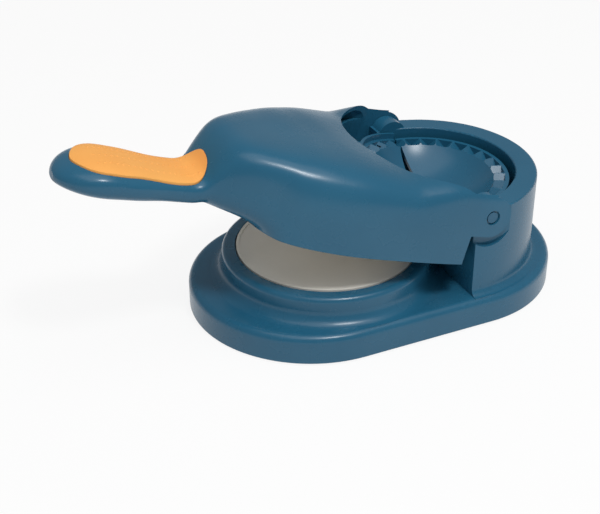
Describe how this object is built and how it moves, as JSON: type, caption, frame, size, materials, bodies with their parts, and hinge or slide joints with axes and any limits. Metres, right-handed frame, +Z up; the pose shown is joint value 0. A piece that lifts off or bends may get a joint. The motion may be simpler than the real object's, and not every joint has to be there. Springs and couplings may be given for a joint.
{
  "type": "dumpling maker",
  "caption": "Hand dumpling maker: a hinged lid with a long handle presses round wrappers between white plates and folds them in a two-part pleated mould.",
  "frame": {"origin": "middle of the overall length on the table plane, under the feet", "axes": "+X from the handle to the tower, +Y along the hinge axis to the left, +Z up"},
  "size_m": [0.2786, 0.132, 0.1115],
  "materials": {
    "blue_plastic": "satin moulded plastic",
    "white_plastic": "smooth moulded plastic",
    "orange_grip": "soft matt grip",
    "pin_plastic": "smooth moulded plastic",
    "steel": "plain screw steel",
    "foot_rubber": "matt rubber"
  },
  "bodies": {
    "base": {"base_shell": "blue_plastic", "base_bottom_plate": "blue_plastic", "base_plate_screws": "steel", "foot_front_left": "foot_rubber", "foot_front_right": "foot_rubber", "foot_rear_left": "foot_rubber", "foot_rear_right": "foot_rubber", "lower_press_plate": "white_plastic", "lower_plate_screws": "steel", "rear_mould_half": "blue_plastic", "rear_mould_screws": "steel", "hinge_pin_left": "pin_plastic", "hinge_pin_right": "pin_plastic"},
    "lid": {"lid_shell": "blue_plastic", "grip_inlay": "orange_grip", "mould_carrier": "blue_plastic", "carrier_screws": "steel", "front_mould_half": "blue_plastic", "front_mould_screws": "steel", "lid_under_cover": "blue_plastic", "under_cover_screws": "steel", "upper_press_plate": "white_plastic", "upper_plate_screws": "steel"}
  },
  "joints": [
    {"name": "lid_hinge", "type": "hinge", "parent": "base", "child": "lid", "pos_m": [0.07229, 0, 0.0611], "axis": [0, 1, 0], "range_deg": [-16, 164]}
  ]
}
